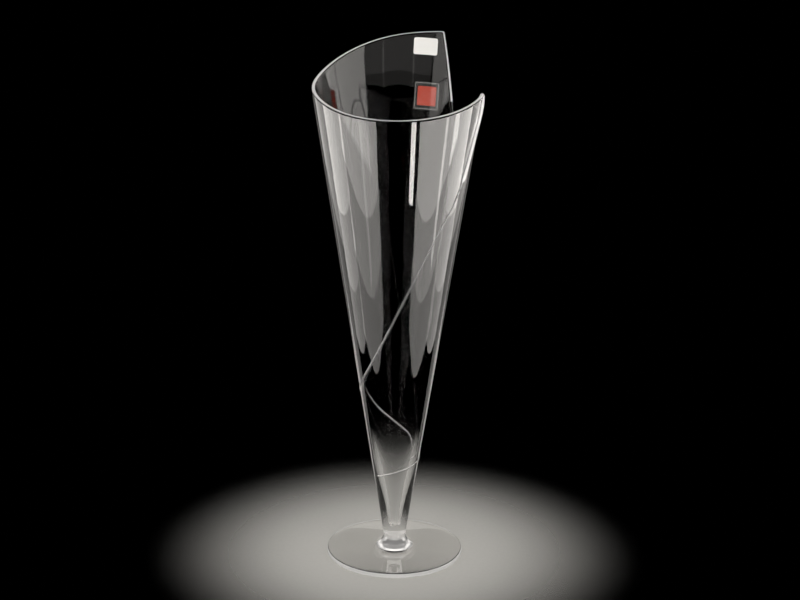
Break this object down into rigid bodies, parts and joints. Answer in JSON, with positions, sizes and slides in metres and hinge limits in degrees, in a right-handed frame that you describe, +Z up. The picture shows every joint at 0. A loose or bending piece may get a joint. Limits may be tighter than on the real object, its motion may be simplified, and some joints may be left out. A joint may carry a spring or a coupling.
{
  "type": "conical glass vase",
  "caption": "Tall clear glass vase shaped like a rolled paper cone on a round foot, with a slanting rim that has a deep notch and a spiral thread round the outside.",
  "frame": {"origin": "centre of the foot's flat underside, on the surface that the vase stands on", "axes": "+Z up along the vase's axis; -Y towards the viewer of the picture; +X to the viewer's right, where the rim's tip is"},
  "size_m": [0.1367, 0.1396, 0.4324],
  "materials": {
    "clear_glass": "clear, polished by fire",
    "white_paper": "matt white paper",
    "clear_film": "clear film, slightly cloudy",
    "red_ink": "plain red print"
  },
  "bodies": {
    "root": {"foot": "clear_glass", "stem_collar": "clear_glass", "bowl": "clear_glass", "spiral_thread": "clear_glass", "price_sticker": "white_paper", "film_label": "clear_film", "label_print": "red_ink"}
  },
  "joints": []
}
